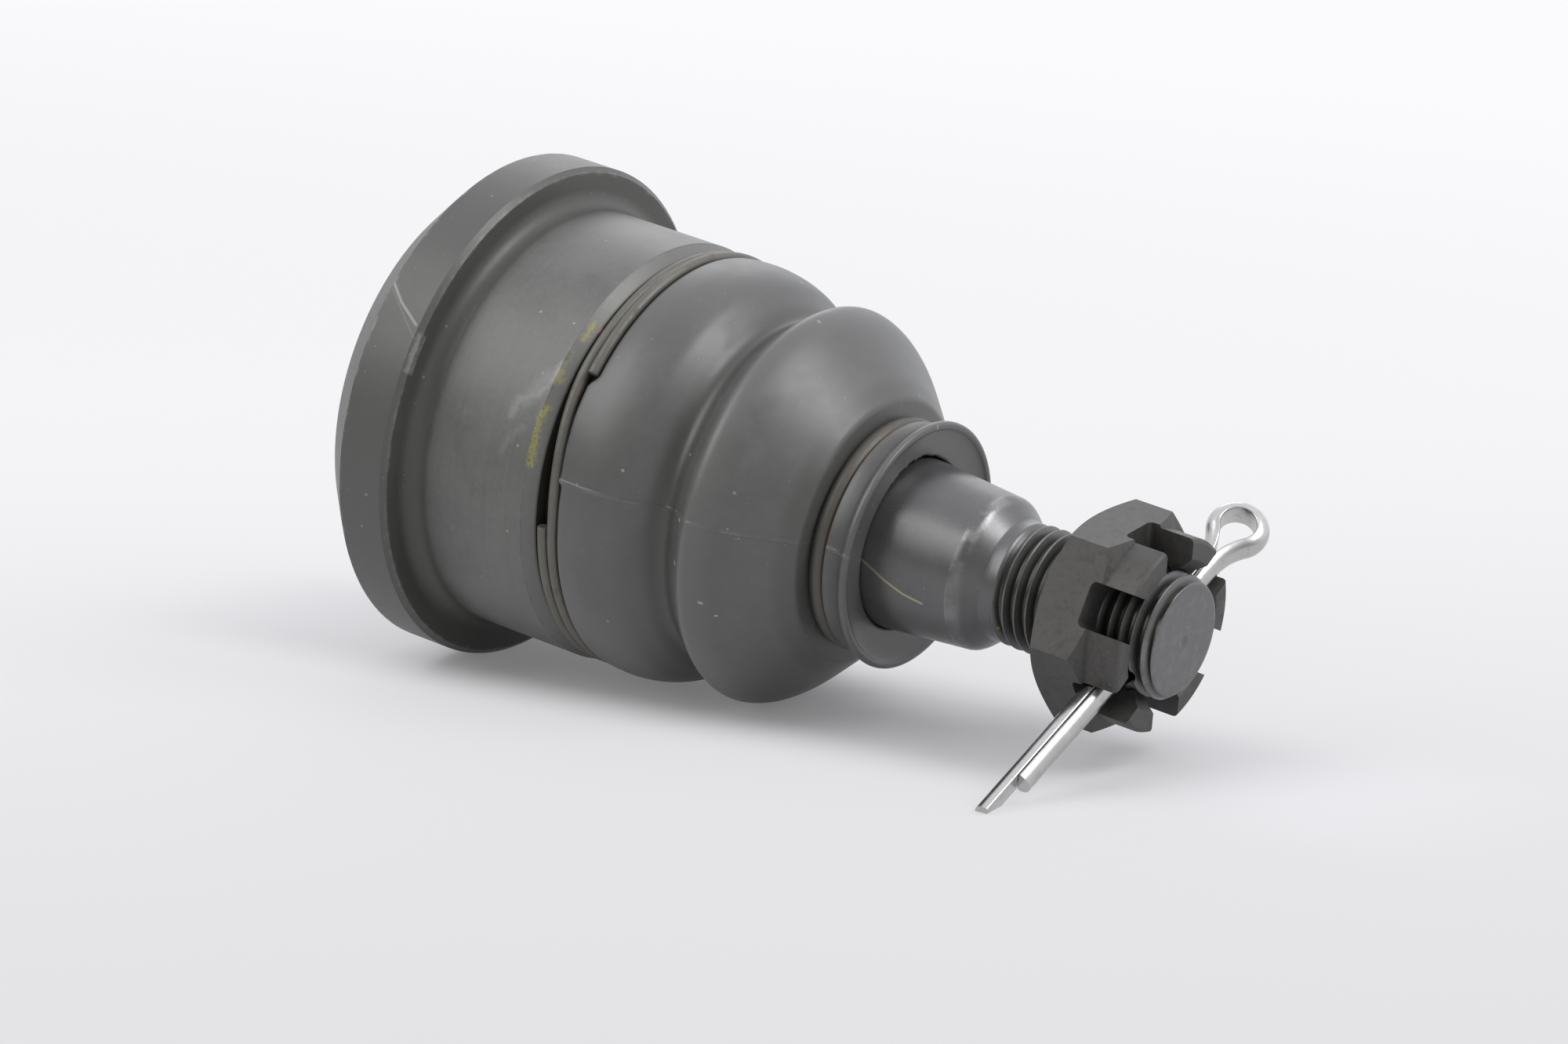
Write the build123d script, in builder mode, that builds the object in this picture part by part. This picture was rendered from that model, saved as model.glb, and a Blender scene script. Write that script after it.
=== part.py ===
from build123d import *
from math import asin, atan2, cos, degrees, radians, sin, sqrt
import os

# Press-in suspension ball joint, in millimetres.
# The stud's axis is the Y axis and points from the socket to the threaded end. The origin is the
# centre of the ball. Every turned piece is drawn as a half section, radius along X and station
# along Y, and revolved about Y. A clock angle is measured about Y, from +Z towards +X.

# ---- driving dimensions ----
ball_radius = 14.0
bearing_gap = 0.06                   # running clearance, ball to bearing and cup to bore
swing_limit = 20.0                   # half angle of the stud's cone, degrees

body_radius = 24.5                   # press-fit body
body_front = 10.0
body_chamfer = 1.4
body_fillet = 2.0
flange_radius = 29.0
flange_front = -7.2
flange_rear = -13.5
rim_rear = -19.0                     # rolled rim that closes over the cover plate
rim_radius = 24.3
rim_lip_radius = 18.5
nose_radius = 21.6                   # spigot that the boot's bead sits on
nose_groove_radius = 20.8
nose_front = 16.2
cavity_radius = 18.0
cover_seat = -15.2
cover_radius = 21.0
cover_thick = 2.4

stud_end = 80.0
thread_radius = 7.0                  # M14 x 1.5
thread_start = 60.4
shoulder = 55.4
shoulder_radius = 8.8
taper_ratio = 1 / 12                 # radius gained per millimetre, 1:6 on the diameter
taper_back = 36.0
neck_radius = 8.5
face_radius = 6.2
end_chamfer = 0.9

boot_groove_radius = 22.85           # under the large ring
boot_start = 14.4                    # shoulder in front of the large ring
boot_start_radius = 24.0
small_groove_radius = 11.4           # under the small ring
small_groove_start = 39.5
small_groove_end = 41.6
collar_radius = 13.3                 # between the small ring and the lip
collar_front_radius = 13.7
lip_front = 45.3
lip_radius = 14.2
lip_hole_radius = 10.5

large_wire = 1.34
large_ring_clock = 98.0              # where the wire's socket-side end stands
large_ring_turns = 1.878
small_wire = 2.0

nut_flats = 22.0
nut_seat = 67.5
nut_hex_top = 73.6
nut_top = 78.6
nut_crown_radius = 10.95
nut_clock = 36.8                     # clock angle of one hexagon corner
slot_width = 5.1
slot_floor = 73.0
slot_corner = 0.7

pin_station = 75.87
pin_clock = 302.2                    # clock angle of the pin's eye
pin_lean = 3.2                       # the pin leans in its hole, tips towards the socket
pin_roll = 17.0                      # turn of the pin about its own length
pin_radius = 1.5
pin_hole_radius = 2.1
long_leg = 31.0
short_leg = 26.5
eye_radius = 2.0
eye_neck = 10.4
eye_neck_radius = 8.0
leg_gap = 0.04

os.makedirs("parts", exist_ok=True)


def clock_direction(angle):
    return Vector(sin(radians(angle)), 0, cos(radians(angle)))


def sphere_station(radius, ring):
    return sqrt(radius ** 2 - ring ** 2)


def save(piece, label):
    piece.part.label = label
    export_step(piece.part, f"parts/{label}.step")


bearing_radius = ball_radius + bearing_gap
neck_station = sphere_station(ball_radius, neck_radius)

# ---- housing: forged flange and press-fit body, open to the stud at the front ----
race_edge_angle = degrees(asin(neck_radius / ball_radius)) + swing_limit + 1.5
race_edge_radius = bearing_radius * sin(radians(race_edge_angle))
race_edge = bearing_radius * cos(radians(race_edge_angle))
mouth_slope = sin(radians(swing_limit)) / cos(radians(swing_limit))
mouth_clear = neck_radius / cos(radians(swing_limit)) + 0.9


def mouth_radius(station):
    # the leaning neck just clears this cone
    return mouth_clear + station * mouth_slope


with BuildPart() as housing:
    with BuildSketch(Plane.XY):
        with BuildLine():
            Polyline(
                (rim_lip_radius, rim_rear),
                (rim_radius - 1.6, rim_rear),
                (rim_radius, rim_rear + 0.9),
                (flange_radius - 1.5, flange_rear - 1.5),
                (flange_radius, flange_rear),
                (flange_radius, flange_front - 0.6),
                (flange_radius - 0.6, flange_front),
                (body_radius + body_fillet, flange_front),
            )
            RadiusArc(
                (body_radius + body_fillet, flange_front),
                (body_radius, flange_front + body_fillet),
                body_fillet,
            )
            Polyline(
                (body_radius, flange_front + body_fillet),
                (body_radius, body_front - body_chamfer),
                (body_radius - 1.1, body_front),
                (nose_radius, body_front),
                (nose_groove_radius, body_front + 0.8),
                (nose_groove_radius, nose_front - 1.4),
                (nose_radius, nose_front - 0.8),
                (nose_radius, nose_front - 0.3),
                (nose_radius - 0.3, nose_front),
                (mouth_radius(nose_front), nose_front),
                (mouth_radius(race_edge), race_edge),
                (cavity_radius, 1.5),
                (cavity_radius, cover_seat),
                (cover_radius, cover_seat),
                (cover_radius, cover_seat - cover_thick),
                (rim_lip_radius, cover_seat - cover_thick),
                (rim_lip_radius, rim_rear),
            )
        make_face()
    revolve(axis=Axis.Y)
    # rolled outer edge of the crimped rim
    rim_edges = housing.edges().filter_by(GeomType.CIRCLE).group_by(Axis.Y)[0]
    fillet(rim_edges.sort_by(SortBy.RADIUS)[-1], radius=0.8)
save(housing, "housing")

# ---- cover plate: dished disc under the rolled rim ----
dish_radius = 12.0
dish_depth = 0.9
cover_inner = cover_seat - cover_thick

with BuildPart() as cover_plate:
    with BuildSketch(Plane.XY):
        with BuildLine():
            Polyline(
                (0, cover_inner + dish_depth),
                (dish_radius - 2, cover_inner + dish_depth),
                (dish_radius, cover_inner),
                (cover_radius, cover_inner),
                (cover_radius, cover_seat),
                (dish_radius + 1, cover_seat),
                (dish_radius - 1, cover_seat + dish_depth),
                (0, cover_seat + dish_depth),
                close=True,
            )
        make_face()
    revolve(axis=Axis.Y)
save(cover_plate, "cover_plate")

# ---- disc spring that preloads the bearing ----
spring_thick = 0.8
spring_cone = 0.9
spring_outer = 16.5
spring_inner = 13.6

with BuildPart() as disc_spring:
    with BuildSketch(Plane.XY):
        with BuildLine():
            Polyline(
                (spring_inner, cover_seat + spring_cone),
                (spring_outer, cover_seat),
                (spring_outer, cover_seat + spring_thick),
                (spring_inner, cover_seat + spring_cone + spring_thick),
                close=True,
            )
        make_face()
    revolve(axis=Axis.Y)
save(disc_spring, "disc_spring")

# ---- pressure cup: the rear half of the bearing ----
cup_front = -1.0
cup_rear = cover_seat + spring_cone + spring_thick + 0.1
cup_hole = 7.0
cup_radius = cavity_radius - bearing_gap
cup_mouth = sphere_station(bearing_radius, -cup_front)

with BuildPart() as pressure_cup:
    with BuildSketch(Plane.XY):
        with BuildLine():
            Polyline(
                (cup_mouth, cup_front),
                (cup_radius, cup_front),
                (cup_radius, cup_rear + 1),
                (cup_radius - 1, cup_rear),
                (cup_hole, cup_rear),
                (cup_hole, -sphere_station(bearing_radius, cup_hole)),
            )
            RadiusArc(
                (cup_hole, -sphere_station(bearing_radius, cup_hole)),
                (cup_mouth, cup_front),
                -bearing_radius,
            )
        make_face()
    revolve(axis=Axis.Y)
save(pressure_cup, "pressure_cup")

# ---- upper race: the front half, behind the housing's shoulder ----
race_rear = -0.6
race_mouth = sphere_station(bearing_radius, -race_rear)
race_fit = 0.02

with BuildPart() as upper_race:
    with BuildSketch(Plane.XY):
        with BuildLine():
            RadiusArc(
                (race_mouth, race_rear),
                (race_edge_radius, race_edge),
                -bearing_radius,
            )
            Polyline(
                (race_edge_radius, race_edge),
                (mouth_radius(race_edge) - 0.3, race_edge),
                (cavity_radius - race_fit, 1.5 - race_fit),
                (cavity_radius - race_fit, race_rear),
                (race_mouth, race_rear),
            )
        make_face()
    revolve(axis=Axis.Y)
save(upper_race, "upper_race")

# ---- ball stud: ball, neck, taper, shoulder and thread in one forging ----
ball_flat = -12.4
ball_flat_radius = sphere_station(ball_radius, ball_flat)
taper_back_radius = shoulder_radius + (shoulder - taper_back) * taper_ratio
pin_axis = clock_direction(pin_clock)

with BuildPart() as ball_stud:
    with BuildSketch(Plane.XY):
        with BuildLine():
            Line((0, ball_flat), (ball_flat_radius, ball_flat))
            ThreePointArc(
                (ball_flat_radius, ball_flat),
                (ball_radius, 0),
                (neck_radius, neck_station),
            )
            Polyline(
                (neck_radius, neck_station),
                (neck_radius, 22),
                (taper_back_radius, taper_back - 4),
                (taper_back_radius, taper_back),
                (shoulder_radius, shoulder),
            )
            Spline(
                (shoulder_radius, shoulder),
                (8.2, shoulder + 1.1),
                (7.25, shoulder + 2.2),
                (thread_radius - 0.15, shoulder + 3.2),
                tangents=((0.1, 1), (0, 1)),
            )
            Polyline(
                (thread_radius - 0.15, shoulder + 3.2),
                (thread_radius - 0.15, thread_start - 0.15),
                (thread_radius, thread_start),
                (thread_radius, stud_end - end_chamfer),
                (face_radius, stud_end),
                (0, stud_end),
                (0, ball_flat),
            )
        make_face()
    revolve(axis=Axis.Y)
    with BuildSketch(Plane(origin=(0, pin_station, 0), x_dir=(0, 1, 0), z_dir=pin_axis)):
        Circle(pin_hole_radius)
    extrude(amount=2 * thread_radius, both=True, mode=Mode.SUBTRACT)
save(ball_stud, "ball_stud")

# ---- boot: one rubber moulding, two convolutions and a flared lip ----
boot_bead_rear = body_front + 0.3
boot_bead_radius = nose_groove_radius + 0.02
bead_chamfer = 0.55                  # clears the cone at the foot of the spigot
cone_end_radius = 15.6
seal_rear = small_groove_start - 1.4
seal_radius = shoulder_radius + (shoulder - seal_rear) * taper_ratio + 0.1

with BuildPart() as boot:
    with BuildSketch(Plane.XY):
        with BuildLine():
            Polyline(
                (boot_bead_radius, boot_bead_rear + bead_chamfer),
                (boot_bead_radius + bead_chamfer, boot_bead_rear),
                (boot_groove_radius, boot_bead_rear),
                (boot_groove_radius, boot_start),
                (boot_start_radius, boot_start),
            )
            Spline(
                (boot_start_radius, boot_start),
                (24.3, 15.4),
                (24.3, 17.2),
                (23.3, 20.8),
                (21.2, 23.0),
                (20.0, 24.8),
                (20.7, 26.6),
                (22.95, 29.4),
                (21.5, 33.0),
                (cone_end_radius, small_groove_start - 0.5),
                tangents=((0.5, 1), (-0.8, 1)),
            )
            Polyline(
                (cone_end_radius, small_groove_start - 0.5),
                (cone_end_radius - 0.8, small_groove_start),
                (small_groove_radius, small_groove_start),
                (small_groove_radius, small_groove_end),
                (collar_radius, small_groove_end),
                (collar_front_radius, lip_front - 1.4),
                (lip_radius, lip_front - 0.8),
                (lip_radius, lip_front - 0.2),
                (lip_radius - 0.3, lip_front),
                (lip_radius - 0.8, lip_front),
                (lip_radius - 1.1, lip_front - 0.5),
                (lip_hole_radius, lip_front - 0.9),
                (seal_radius, small_groove_end - 0.2),
                (seal_radius, seal_rear),
            )
            Spline(
                (seal_radius, seal_rear),
                (15.2, 37.0),
                (20.1, 32.0),
                (21.2, 29.6),
                (19.0, 27.2),
                (18.3, 24.8),
                (19.3, 22.2),
                (21.5, 19.6),
                (22.3, nose_front + 0.9),
                tangents=((0.6, -1), (0, -1)),
            )
            Polyline(
                (22.3, nose_front + 0.9),
                (nose_radius + 0.02, nose_front - 0.3),
                (nose_radius + 0.02, nose_front - 0.8),
                (boot_bead_radius, nose_front - 1.4),
                (boot_bead_radius, boot_bead_rear + bead_chamfer),
            )
        make_face()
    revolve(axis=Axis.Y)
save(boot, "boot")


# ---- large spring ring: round wire wound as a close coil, both ends in view ----
large_coil_radius = boot_groove_radius + 0.05 + large_wire / 2
large_pitch = large_wire + 0.03
large_rear = boot_bead_rear + 0.8     # centre of the first turn

with BuildPart() as boot_large_ring:
    with BuildLine():
        coil = Helix(
            pitch=large_pitch,
            height=large_pitch * large_ring_turns,
            radius=large_coil_radius,
            center=(0, large_rear, 0),
            direction=(0, 1, 0),
        )
    with BuildSketch(Plane(origin=coil @ 0, z_dir=coil % 0)):
        Circle(large_wire / 2)
    sweep(path=coil, is_frenet=True)
# the coil is wound from clock 0, so it is turned to where its end stands
boot_large_ring.part = boot_large_ring.part.rotate(Axis.Y, large_ring_clock)
save(boot_large_ring, "boot_large_ring")

# ---- small spring ring: one turn of round wire behind the boot's collar ----
small_coil_radius = small_groove_radius + 0.05 + small_wire / 2
small_middle = (small_groove_start + small_groove_end) / 2

with BuildPart() as boot_small_ring:
    with BuildSketch(Plane.XY):
        with Locations((small_coil_radius, small_middle)):
            Circle(small_wire / 2)
    revolve(axis=Axis.Y)
save(boot_small_ring, "boot_small_ring")

# ---- castle nut: hexagon with coned corners, turned crown with six slots ----
corner_radius = nut_flats / sqrt(3)
cone_rise = (corner_radius - nut_crown_radius) * sin(radians(30)) / cos(radians(30))
seat_radius = nut_flats / 2 - 0.4
seat_rise = (corner_radius - seat_radius) * sin(radians(30)) / cos(radians(30))
thread_gap = 0.05
nut_plane = Plane(origin=(0, nut_seat, 0), x_dir=clock_direction(nut_clock), z_dir=(0, 1, 0))
slot_depth = nut_top - slot_floor + 2 * slot_corner

with BuildPart() as castle_nut:
    with BuildSketch(nut_plane):
        RegularPolygon(corner_radius, 6)
    extrude(amount=nut_top - nut_seat)
    with BuildSketch(Plane.XY):
        with BuildLine():
            Polyline(
                (thread_radius + thread_gap + 0.8, nut_seat),
                (seat_radius, nut_seat),
                (corner_radius + 0.1, nut_seat + seat_rise),
                (corner_radius + 0.1, nut_hex_top - 0.2),
                (nut_crown_radius, nut_hex_top - 0.2 + cone_rise),
                (nut_crown_radius, nut_top - 0.5),
                (nut_crown_radius - 0.5, nut_top),
                (thread_radius + thread_gap + 1.6, nut_top),
                (thread_radius + thread_gap, nut_top - 1.6),
                (thread_radius + thread_gap, nut_seat + 0.8),
                close=True,
            )
        make_face()
    revolve(axis=Axis.Y, mode=Mode.INTERSECT)
    for slot_clock in (30, 90, 150):
        with BuildSketch(Plane(
            origin=(0, slot_floor + slot_depth / 2, 0),
            x_dir=(0, 1, 0),
            z_dir=clock_direction(nut_clock + slot_clock),
        )):
            RectangleRounded(slot_depth, slot_width, slot_corner)
        extrude(amount=2 * nut_flats, both=True, mode=Mode.SUBTRACT)
save(castle_nut, "castle_nut")

# ---- cotter pin: one half-round wire folded flat to flat, with a teardrop eye ----
lean = radians(pin_lean)
pin_direction = pin_axis * cos(lean) + Vector(0, sin(lean), 0)
split_normal = pin_direction.cross(Vector(0, 1, 0))
pin_plane = Plane(
    origin=(0, pin_station, 0),
    x_dir=pin_direction,
    z_dir=split_normal.rotate(Axis((0, 0, 0), pin_direction), pin_roll),
)
neck_reach = sqrt((eye_neck_radius + eye_radius) ** 2 - (eye_neck_radius + leg_gap) ** 2)
neck_turn = degrees(atan2(neck_reach, eye_neck_radius + leg_gap))
eye_centre = eye_neck + neck_reach

with BuildPart() as cotter_pin:
    with BuildLine(pin_plane) as pin_line:
        Line((-long_leg, -leg_gap), (eye_neck, -leg_gap))
        CenterArc((eye_neck, -leg_gap - eye_neck_radius), eye_neck_radius, 90, -neck_turn)
        CenterArc((eye_centre, 0), eye_radius, -90 - neck_turn, 180 + 2 * neck_turn)
        CenterArc((eye_neck, leg_gap + eye_neck_radius), eye_neck_radius, -90 + neck_turn, -neck_turn)
        Line((eye_neck, leg_gap), (-short_leg, leg_gap))
    with BuildSketch(Plane(
        origin=pin_line.line @ 0, x_dir=-pin_plane.y_dir, z_dir=pin_plane.x_dir
    )):
        Circle(pin_radius)
        with Locations((-pin_radius, 0)):
            Rectangle(2 * pin_radius, 2 * pin_radius, mode=Mode.SUBTRACT)
    sweep(path=pin_line.wire())
save(cotter_pin, "cotter_pin")
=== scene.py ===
import math
from functools import reduce

import bmesh
import bpy
import numpy as np
from mathutils import Matrix, Vector


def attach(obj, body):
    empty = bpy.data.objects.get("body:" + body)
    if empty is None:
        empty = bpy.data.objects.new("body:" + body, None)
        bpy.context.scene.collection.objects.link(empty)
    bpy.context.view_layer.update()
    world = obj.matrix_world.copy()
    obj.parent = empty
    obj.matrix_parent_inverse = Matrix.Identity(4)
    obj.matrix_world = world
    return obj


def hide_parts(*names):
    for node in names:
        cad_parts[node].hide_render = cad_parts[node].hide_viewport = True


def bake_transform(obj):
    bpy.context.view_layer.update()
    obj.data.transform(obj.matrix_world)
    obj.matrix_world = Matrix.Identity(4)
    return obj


# Press-in suspension ball joint, lying on its side on a studio table.
# The stud's axis is +Y and the ball's centre is the origin. Sizes are in millimetres until a mesh
# is made. A clock angle is measured about Y, from +Z towards +X, in degrees.

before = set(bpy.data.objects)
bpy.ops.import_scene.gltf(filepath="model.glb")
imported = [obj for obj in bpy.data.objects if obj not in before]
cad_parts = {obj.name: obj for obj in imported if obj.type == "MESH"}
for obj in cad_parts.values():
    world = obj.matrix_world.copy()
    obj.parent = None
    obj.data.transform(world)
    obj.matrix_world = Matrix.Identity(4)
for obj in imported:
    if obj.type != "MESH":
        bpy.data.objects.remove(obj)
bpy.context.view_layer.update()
mm = 0.001


def clockPoint(radius, station, clock):
    turn = math.radians(clock)
    return Vector((radius * math.sin(turn), station, radius * math.cos(turn)))


# ---- node trees ----

def operator(operation, swapped=False):
    # a way to write one maths node, or the same with its two values swapped
    def run(self, *others):
        return self.graph.maths(operation, *((*others, self) if swapped else (self, *others)))
    return run


class Value:
    # one socket of a node tree, so that maths on it reads as plain maths
    def __init__(self, graph, socket):
        self.graph, self.socket = graph, socket

    __add__, __radd__ = operator("ADD"), operator("ADD", True)
    __sub__, __rsub__ = operator("SUBTRACT"), operator("SUBTRACT", True)
    __mul__, __rmul__ = operator("MULTIPLY"), operator("MULTIPLY", True)
    __truediv__, __pow__ = operator("DIVIDE"), operator("POWER")
    __lt__, __gt__ = operator("LESS_THAN"), operator("GREATER_THAN")
    atLeast, atMost = operator("MAXIMUM"), operator("MINIMUM")
    __abs__, sine, cosine = operator("ABSOLUTE"), operator("SINE"), operator("COSINE")
    fraction, rounded = operator("FRACT"), operator("ROUND")

    def clamped(self):
        return self.atLeast(0.0).atMost(1.0)

    def rise(self, low, high):
        # 0 at low, 1 at high, smooth between
        return self.graph.node("ShaderNodeMapRange", {0: self, 1: low, 2: high, 3: 0.0, 4: 1.0},
                               interpolation_type="SMOOTHSTEP")

    def band(self, middle, half, soft):
        # 1 within half of middle, falling to 0 over soft
        return 1 - abs(self - middle).rise(half, half + soft)

    def out(self, name):
        return Value(self.graph, self.socket.node.outputs[name])


class Graph:
    # a node tree that is filled by calls, each giving back the new node's output as a Value
    def __init__(self, tree):
        self.tree = tree

    def node(self, kind, links=None, output=0, **settings):
        made = self.tree.nodes.new(kind)
        for name, setting in settings.items():
            setattr(made, name, setting)
        for name, value in (links or {}).items():
            self.feed(made.inputs[name], value)
        return Value(self, made.outputs[output]) if len(made.outputs) else None

    def feed(self, socket, value):
        if isinstance(value, Value):
            self.tree.links.new(value.socket, socket)
        elif value is not None:
            socket.default_value = value

    def maths(self, operation, *terms):
        return self.node("ShaderNodeMath", dict(enumerate(terms)), operation=operation)

    def mix(self, share, first, second, blend="MIX"):
        # two colours; a plain tuple of three is a colour
        first, second = ((*c, 1) if isinstance(c, tuple) else c for c in (first, second))
        return self.node("ShaderNodeMix", {0: share, 6: first, 7: second}, 2,
                         data_type="RGBA", blend_type=blend, clamp_factor=True)

    def split(self, vector):
        # a vector's three values
        parts = self.node("ShaderNodeSeparateXYZ", {0: vector})
        return parts, parts.out("Y"), parts.out("Z")

    def join(self, x, y, z):
        return self.node("ShaderNodeCombineXYZ", {0: x, 1: y, 2: z})

    def dot(self, vector, axis):
        return self.node("ShaderNodeVectorMath", {0: vector, 1: axis}, "Value",
                         operation="DOT_PRODUCT")

    def noise(self, place, scale, detail, rough, twist=0.0):
        return self.node("ShaderNodeTexNoise",
                         {"Vector": place, "Scale": scale, "Detail": detail, "Roughness": rough,
                          "Distortion": twist})


class Finish(Graph):
    # a material and the places on the part that its patterns are laid by
    def __init__(self, name, reach=23.0, facing=0.0):
        # reach is the usual radius; facing is over 0 where flat end faces show
        self.around = reach * math.pi / 180
        self.material = bpy.data.materials.new(name)
        self.material.use_nodes = True
        super().__init__(self.material.node_tree)
        self.tree.nodes.clear()
        coordinates = self.node("ShaderNodeTexCoord", None, "Object")
        self.place = self.node("ShaderNodeVectorMath", {0: coordinates, "Scale": 1 / mm},
                               operation="SCALE")
        self.x, self.station, self.z = self.split(self.place)
        self.radius = (self.x * self.x + self.z * self.z) ** 0.5
        self.clock = self.maths("ARCTAN2", self.x, self.z) * (180 / math.pi)
        self.across = self.station - self.radius * facing

    def cloud(self, scale, detail=3.0, rough=0.5, twist=0.0):
        return self.noise(self.place, scale, detail, rough, twist)

    def tint(self, share, colour):
        # lays a colour over what the finish has so far
        self.colour = self.mix(share, self.colour, colour)

    def turned(self, across, along, detail, rough):
        # a noise that changes slowly round the axis, for marks left by turning
        place = self.join(self.radius * across, self.station * across, self.clock * along)
        return self.noise(place, 1.0, detail, rough)

    def specks(self, spacing, size, share, seed):
        # sparse round specks of dust on the turned surface, and how strong each one is
        moved = self.join(self.across + seed[0], self.clock * self.around + seed[1], 0.0)
        cells = self.node("ShaderNodeTexVoronoi", {"Vector": moved, "Scale": 1 / spacing},
                          voronoi_dimensions="2D")
        pick = self.split(cells.out("Color"))
        near = 1 - (cells.out("Distance") * spacing).rise(size * 0.5, size)
        return near * (pick[0] < share) * (pick[1] * 0.7 + 0.3)

    def stroke(self, points, radius, half, soft, wander=0.0):
        # 1 along a line of (station, clock) points on a surface of this radius
        arc = radius * math.pi / 180
        drawn = None
        for (s0, c0), (s1, c1) in zip(points, points[1:]):
            du, dv = s1 - s0, (c1 - c0) * arc
            u, v = self.station - s0, (self.clock - c0) * arc
            t = ((u * du + v * dv) / (du * du + dv * dv)).clamped()
            a, b = u - t * du, v - t * dv
            part = 1 - ((a * a + b * b) ** 0.5 + wander).rise(half, half + soft)
            drawn = part if drawn is None else drawn.atLeast(part)
        return drawn * (self.radius > radius - 1.2)

    def strokes(self, lines, radius, wander=0.0):
        # the strongest of several strokes of (points, half, soft, strength)
        return reduce(Value.atLeast, [self.stroke(points, radius, half, soft, wander) * strength
                                      for points, half, soft, strength in lines])

    def bump(self, height, strength, depth):
        return self.node("ShaderNodeBump",
                         {"Height": height, "Strength": strength, "Distance": depth * mm})

    def surface(self, metallic, rough, bump, specular=None):
        shader = self.node("ShaderNodeBsdfPrincipled", {
            "Base Color": self.colour, "Metallic": metallic, "Roughness": rough,
            "Normal": bump, "Specular IOR Level": specular})
        self.node("ShaderNodeOutputMaterial", {"Surface": shader})
        return self.material


# ---- finishes ----

def shade(colour, share):
    return tuple(c * share for c in colour)


def wavering(middle, *layers):
    # a value that wavers with noises, each centred on a half and with its own weight
    for noise, weight in layers:
        middle = (noise - 0.5) * weight + middle
    return middle


# a dark olive used for painted shade in gaps and grooves
paintedShade = (0.022, 0.022, 0.015)

# lines left on the housing: (station, clock) points, half width, softness and strength
housingLines = {
    "marker": [([(8.95, 66.4), (8.7, 69.8), (8.75, 72.5), (8.85, 75.4), (8.9, 82.0)],
                0.02, 0.45, 1.0),
               ([(9.2, 40.4), (9.1, 46.0)], 0.0, 0.34, 0.8),
               ([(9.05, 50.4), (8.95, 54.0)], 0.0, 0.3, 0.4),
               ([(8.85, 56.2), (8.9, 58.6)], 0.16, 0.5, 0.6)],
    "red": [([(9.9, 40.6), (9.95, 41.4)], 0.08, 0.25, 0.65)],
    "wisps": [([(8.5, 54.5), (8.3, 60.0), (7.4, 64.0), (5.2, 66.7), (4.9, 71.5)], 0.0, 0.75, 0.8),
              ([(7.7, 58.7), (6.1, 66.7)], 0.0, 1.5, 0.45),
              ([(6.7, 73.5), (5.4, 77.5), (4.9, 81.0)], 0.0, 0.6, 0.4)],
    "scratches": [([(-13.3, 52.1), (-11.3, 55.5), (-8.2, 59.2)], 0.05, 0.2, 0.95),
                  ([(-13.3, 53.2), (-7.6, 62.4)], 0.0, 0.16, 0.3)],
    "scrape": [([(-7.4, 61.0), (-7.3, 69.5)], 0.0, 0.45, 0.8)],
}


def housingMarks(f, base):
    # the flange is darker than the body, and the chamfer lighter
    f.tint((1 - f.station.rise(-7.6, -4.6)) * 0.85, shade(base, 0.66))
    f.tint(f.station.band(9.3, 0.45, 0.2) * (f.radius > 23.2) * 0.5, shade(base, 1.35))
    # painted shade in the corner between the flange's front face and the body
    inner = f.station.band(-6.4, 1.0, 1.2) * (1 - f.radius.rise(28.2, 28.6))
    f.tint(inner * 0.5, (0.05, 0.05, 0.043))
    # painted highlights along the flange's rear and front edges and along the body's front edge,
    # strongest at the rear edge and lighter in patches
    highlightPatches = f.cloud(0.7, 4.0, 0.6).rise(0.42, 0.72)
    rear = f.station.band(-13.45, 0.10, 0.16) * (f.radius > 28.2)
    front = f.station.band(-7.2, 0.10, 0.2) * (f.radius > 28.1)
    edge = f.station.band(8.72, 0.04, 0.16) * (f.radius > 24.1)
    f.tint(((rear * 0.55 + front * 0.3 + edge * 0.25) * highlightPatches).clamped(), (0.27, 0.265, 0.255))
    # painted shade in front of the spigot's foot, in the gap under the boot's rear edge and the
    # wire
    f.tint(f.station.rise(9.75, 10.05) * 0.8, paintedShade)
    # yellow-green marker left along the body's front edge, and a dot of red
    blot = (f.cloud(3.0, 5.0, 0.75) - 0.5) * 2.6
    f.tint(f.strokes(housingLines["marker"], 24.4, blot) * 0.82, (0.30, 0.285, 0.085))
    f.tint(f.strokes(housingLines["red"], 23.9), (0.30, 0.11, 0.11))
    # pale wisps on the body, and scratches across the flange's edge
    waft = (f.cloud(1.9, 8.0, 0.85, 0.8) - 0.5) * 3.4
    wisp = f.strokes(housingLines["wisps"], 24.5, waft) * 0.75
    cut = f.strokes(housingLines["scratches"], 29.0)
    cut = cut.atLeast(f.strokes(housingLines["scrape"], 28.8, waft * 0.5))
    f.tint((wisp + cut).clamped() * 0.55, (0.34, 0.34, 0.335))


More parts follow.
